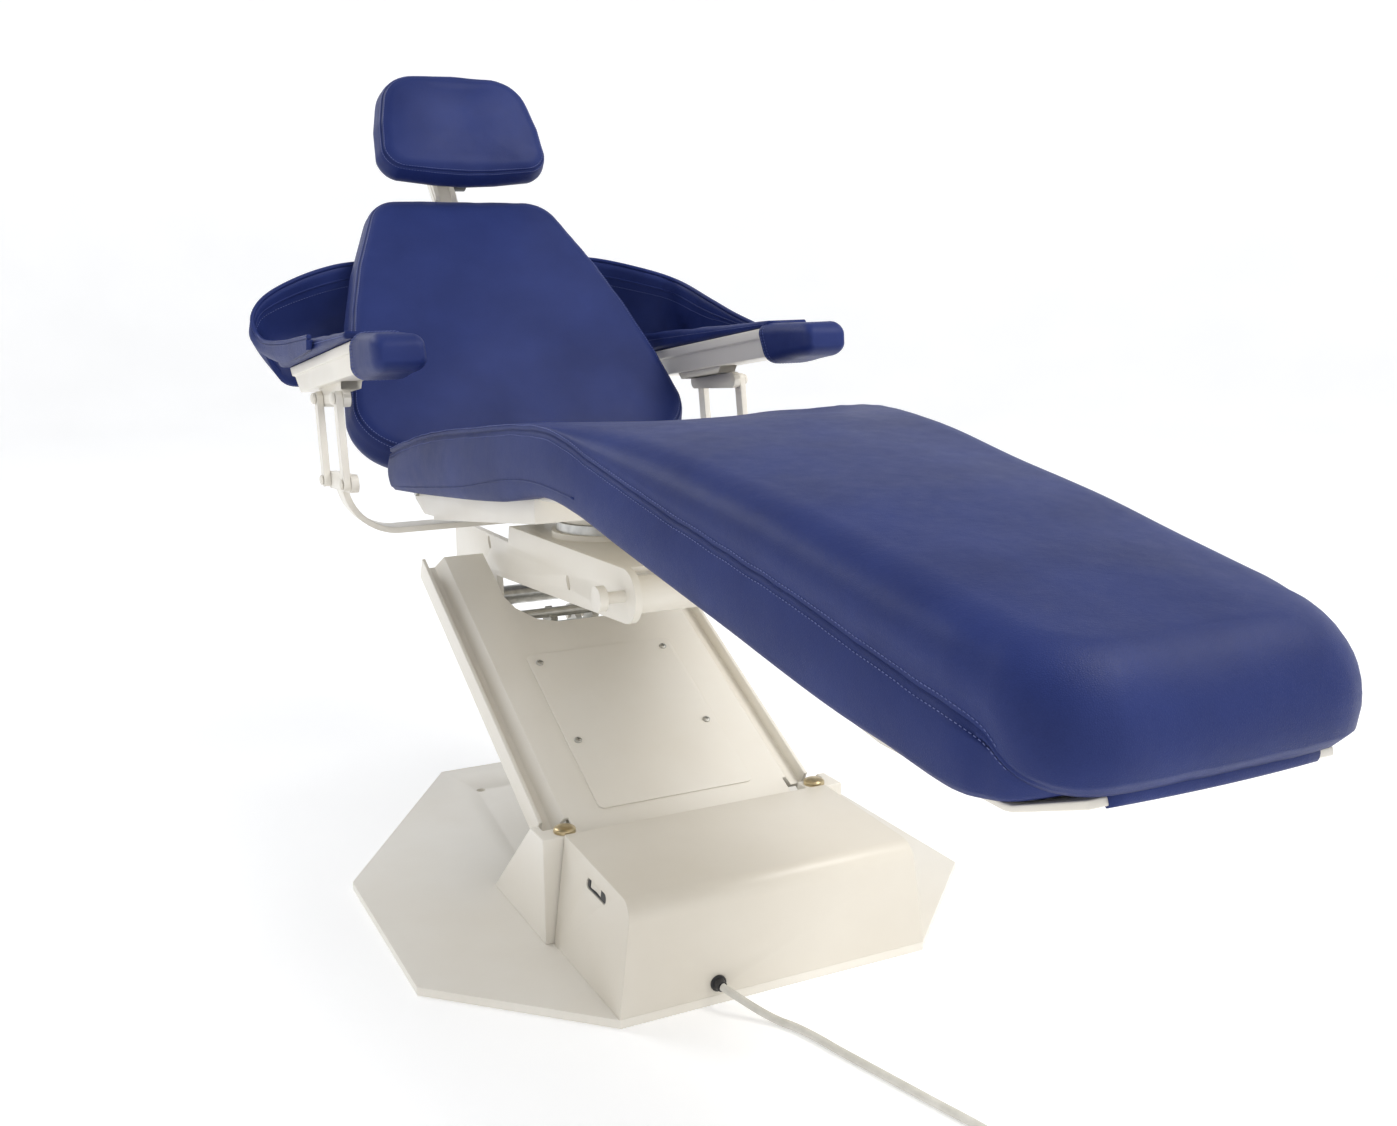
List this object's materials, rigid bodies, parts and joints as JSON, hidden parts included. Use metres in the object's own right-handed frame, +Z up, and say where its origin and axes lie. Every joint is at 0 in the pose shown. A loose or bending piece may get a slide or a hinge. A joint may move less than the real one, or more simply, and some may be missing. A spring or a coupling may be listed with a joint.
{
  "type": "dental chair",
  "caption": "Dental chair with a lift arm on a floor plate, contoured seat, reclining back, linked sling armrests and a sliding, tilting headrest.",
  "frame": {"origin": "on the floor at the middle of the base plate's underside", "axes": "+Z up, the toe end points to -Y, the headrest to +Y, +X is the patient's left"},
  "size_m": [0.712, 1.7625, 1.0856],
  "materials": {
    "white_enamel": "satin off-white enamel",
    "white_plastic": "semi-gloss",
    "steel": "machined",
    "zinc": "zinc plated",
    "brass": "dull plated",
    "black_plastic": "fine texture",
    "cylinder_paint": "black gloss",
    "motor_paint": "painted",
    "tank_plastic": "translucent",
    "vinyl": "soft grained vinyl",
    "cord_jacket": "matt"
  },
  "bodies": {
    "base": {"base_plate": "white_enamel", "tower_left": "white_enamel", "tower_right": "white_enamel", "lower_pivot_shaft": "steel", "link_anchor": "white_enamel", "pump_cover": "white_plastic", "cover_bolts": "brass", "switch_bezel": "black_plastic", "pump_motor": "motor_paint", "pump_manifold": "steel", "oil_reservoir": "tank_plastic", "control_box": "motor_paint", "cylinder_bracket": "zinc", "cord_gland": "black_plastic", "mains_cord": "cord_jacket", "cord_coil": "cord_jacket", "cord_tie": "black_plastic", "mains_plug": "cord_jacket"},
    "power_rocker": {"power_rocker": "white_plastic"},
    "lift_arm": {"lift_arm": "zinc", "arm_cover": "white_enamel", "access_panel": "white_enamel", "panel_screws": "zinc"},
    "parallel_link": {"parallel_link": "zinc"},
    "lift_cylinder": {"lift_cylinder": "cylinder_paint"},
    "lift_rod": {"lift_rod": "steel"},
    "carriage": {"carriage": "white_enamel", "swivel_bearing": "steel", "upper_pivot_shaft": "steel"},
    "swivel_brake": {"swivel_brake": "black_plastic"},
    "seat": {"seat_frame": "white_enamel", "leg_pan": "white_enamel", "seat_cushion": "vinyl", "hinge_pin": "steel", "arm_bracket_left": "white_enamel", "arm_bracket_right": "white_enamel"},
    "back": {"back_shell": "white_enamel", "back_cushion": "vinyl", "sling_left": "vinyl", "sling_right": "vinyl"},
    "recline_cylinder": {"recline_cylinder": "cylinder_paint"},
    "recline_rod": {"recline_rod": "steel"},
    "headrest_bar": {"glide_bar": "white_enamel"},
    "headrest": {"headrest_knuckle": "steel", "headrest_shell": "white_plastic", "headrest_cushion": "vinyl"},
    "headrest_knob": {"headrest_knob": "black_plastic"},
    "rear_link_left": {"rear_link_left": "white_enamel"},
    "front_link_left": {"front_link_left": "white_enamel"},
    "armrest_left": {"arm_saddle_left": "white_enamel", "arm_block_left": "white_enamel", "arm_sleeve_left": "vinyl"},
    "rear_link_right": {"rear_link_right": "white_enamel"},
    "front_link_right": {"front_link_right": "white_enamel"},
    "armrest_right": {"arm_saddle_right": "white_enamel", "arm_block_right": "white_enamel", "arm_sleeve_right": "vinyl"}
  },
  "joints": [
    {"name": "lift", "type": "hinge", "parent": "base", "child": "lift_arm", "pos_m": [0, -0.152, 0.084], "axis": [1, 0, 0], "range_deg": [-19, 33]},
    {"name": "link_swing", "type": "hinge", "parent": "base", "child": "parallel_link", "pos_m": [0, -0.118, 0.038], "axis": [1, 0, 0], "range_deg": [-19, 33]},
    {"name": "carriage_level", "type": "hinge", "parent": "lift_arm", "child": "carriage", "pos_m": [0, 0.28459, 0.30645], "axis": [-1, 0, 0], "range_deg": [-19, 33]},
    {"name": "cylinder_tilt", "type": "hinge", "parent": "base", "child": "lift_cylinder", "pos_m": [0, -0.09, 0.036], "axis": [1, 0, 0], "range_deg": [-25, 42]},
    {"name": "cylinder_stroke", "type": "slide", "parent": "lift_cylinder", "child": "lift_rod", "axis": [0, 0.7886, 0.615], "range_m": [-0.045, 0.07]},
    {"name": "swivel", "type": "hinge", "parent": "carriage", "child": "seat", "pos_m": [0, 0.06, 0.44], "axis": [0, 0, 1], "range_deg": [-25, 25]},
    {"name": "brake_turn", "type": "hinge", "parent": "carriage", "child": "swivel_brake", "pos_m": [0, 0.15, 0.392], "axis": [1, 0, 0], "range_deg": [-120, 120]},
    {"name": "recline", "type": "hinge", "parent": "seat", "child": "back", "pos_m": [0, 0.29, 0.47], "axis": [-1, 0, 0], "range_deg": [-24, 43], "deforming": ["sling_left", "sling_right"]},
    {"name": "recline_cylinder_tilt", "type": "hinge", "parent": "seat", "child": "recline_cylinder", "pos_m": [0, 0.318, 0.428], "axis": [-1, 0, 0], "range_deg": [-35, 55]},
    {"name": "recline_stroke", "type": "slide", "parent": "recline_cylinder", "child": "recline_rod", "axis": [0, 0.6907, 0.7232], "range_m": [-0.05, 0.035]},
    {"name": "headrest_slide", "type": "slide", "parent": "back", "child": "headrest_bar", "axis": [0, 0.682, 0.7314], "range_m": [-0.012, 0.09]},
    {"name": "headrest_tilt", "type": "hinge", "parent": "headrest_bar", "child": "headrest", "pos_m": [0, 0.75349, 0.91835], "axis": [1, 0, 0], "range_deg": [-30, 10]},
    {"name": "knob_turn", "type": "hinge", "parent": "headrest_bar", "child": "headrest_knob", "pos_m": [0, 0.75349, 0.91835], "axis": [1, 0, 0], "range_deg": [-180, 180]},
    {"name": "power_rock", "type": "hinge", "parent": "base", "child": "power_rocker", "pos_m": [-0.17757, -0.316, 0.113], "axis": [0, 0, 1], "range_deg": [-5, 5]},
    {"name": "arm_swing_left", "type": "hinge", "parent": "seat", "child": "rear_link_left", "pos_m": [-0.3, 0.348, 0.485], "axis": [-1, 0, 0], "range_deg": [-8, 14]},
    {"name": "front_swing_left", "type": "hinge", "parent": "seat", "child": "front_link_left", "pos_m": [-0.3, 0.224, 0.494], "axis": [-1, 0, 0], "range_deg": [-8, 14]},
    {"name": "arm_level_left", "type": "hinge", "parent": "rear_link_left", "child": "armrest_left", "pos_m": [-0.3, 0.366, 0.597], "axis": [1, 0, 0], "range_deg": [-8, 14]},
    {"name": "arm_swing_right", "type": "hinge", "parent": "seat", "child": "rear_link_right", "pos_m": [0.3, 0.348, 0.485], "axis": [-1, 0, 0], "range_deg": [-8, 14]},
    {"name": "front_swing_right", "type": "hinge", "parent": "seat", "child": "front_link_right", "pos_m": [0.3, 0.224, 0.494], "axis": [-1, 0, 0], "range_deg": [-8, 14]},
    {"name": "arm_level_right", "type": "hinge", "parent": "rear_link_right", "child": "armrest_right", "pos_m": [0.3, 0.366, 0.597], "axis": [1, 0, 0], "range_deg": [-8, 14]}
  ],
  "couplings": [
    {"joint": "link_swing", "follows": "lift", "ratio": 1},
    {"joint": "carriage_level", "follows": "lift", "ratio": 1},
    {"joint": "cylinder_tilt", "follows": "lift", "ratio": 1.0184},
    {"joint": "cylinder_stroke", "follows": "lift", "m_per_rad": 0.07673},
    {"joint": "recline_cylinder_tilt", "follows": "recline", "ratio": 1.0021},
    {"joint": "recline_stroke", "follows": "recline", "m_per_rad": -0.04908},
    {"joint": "arm_swing_left", "follows": "recline", "ratio": 0.3},
    {"joint": "front_swing_left", "follows": "recline", "ratio": 0.3},
    {"joint": "arm_level_left", "follows": "recline", "ratio": 0.3},
    {"joint": "arm_swing_right", "follows": "recline", "ratio": 0.3},
    {"joint": "front_swing_right", "follows": "recline", "ratio": 0.3},
    {"joint": "arm_level_right", "follows": "recline", "ratio": 0.3}
  ]
}
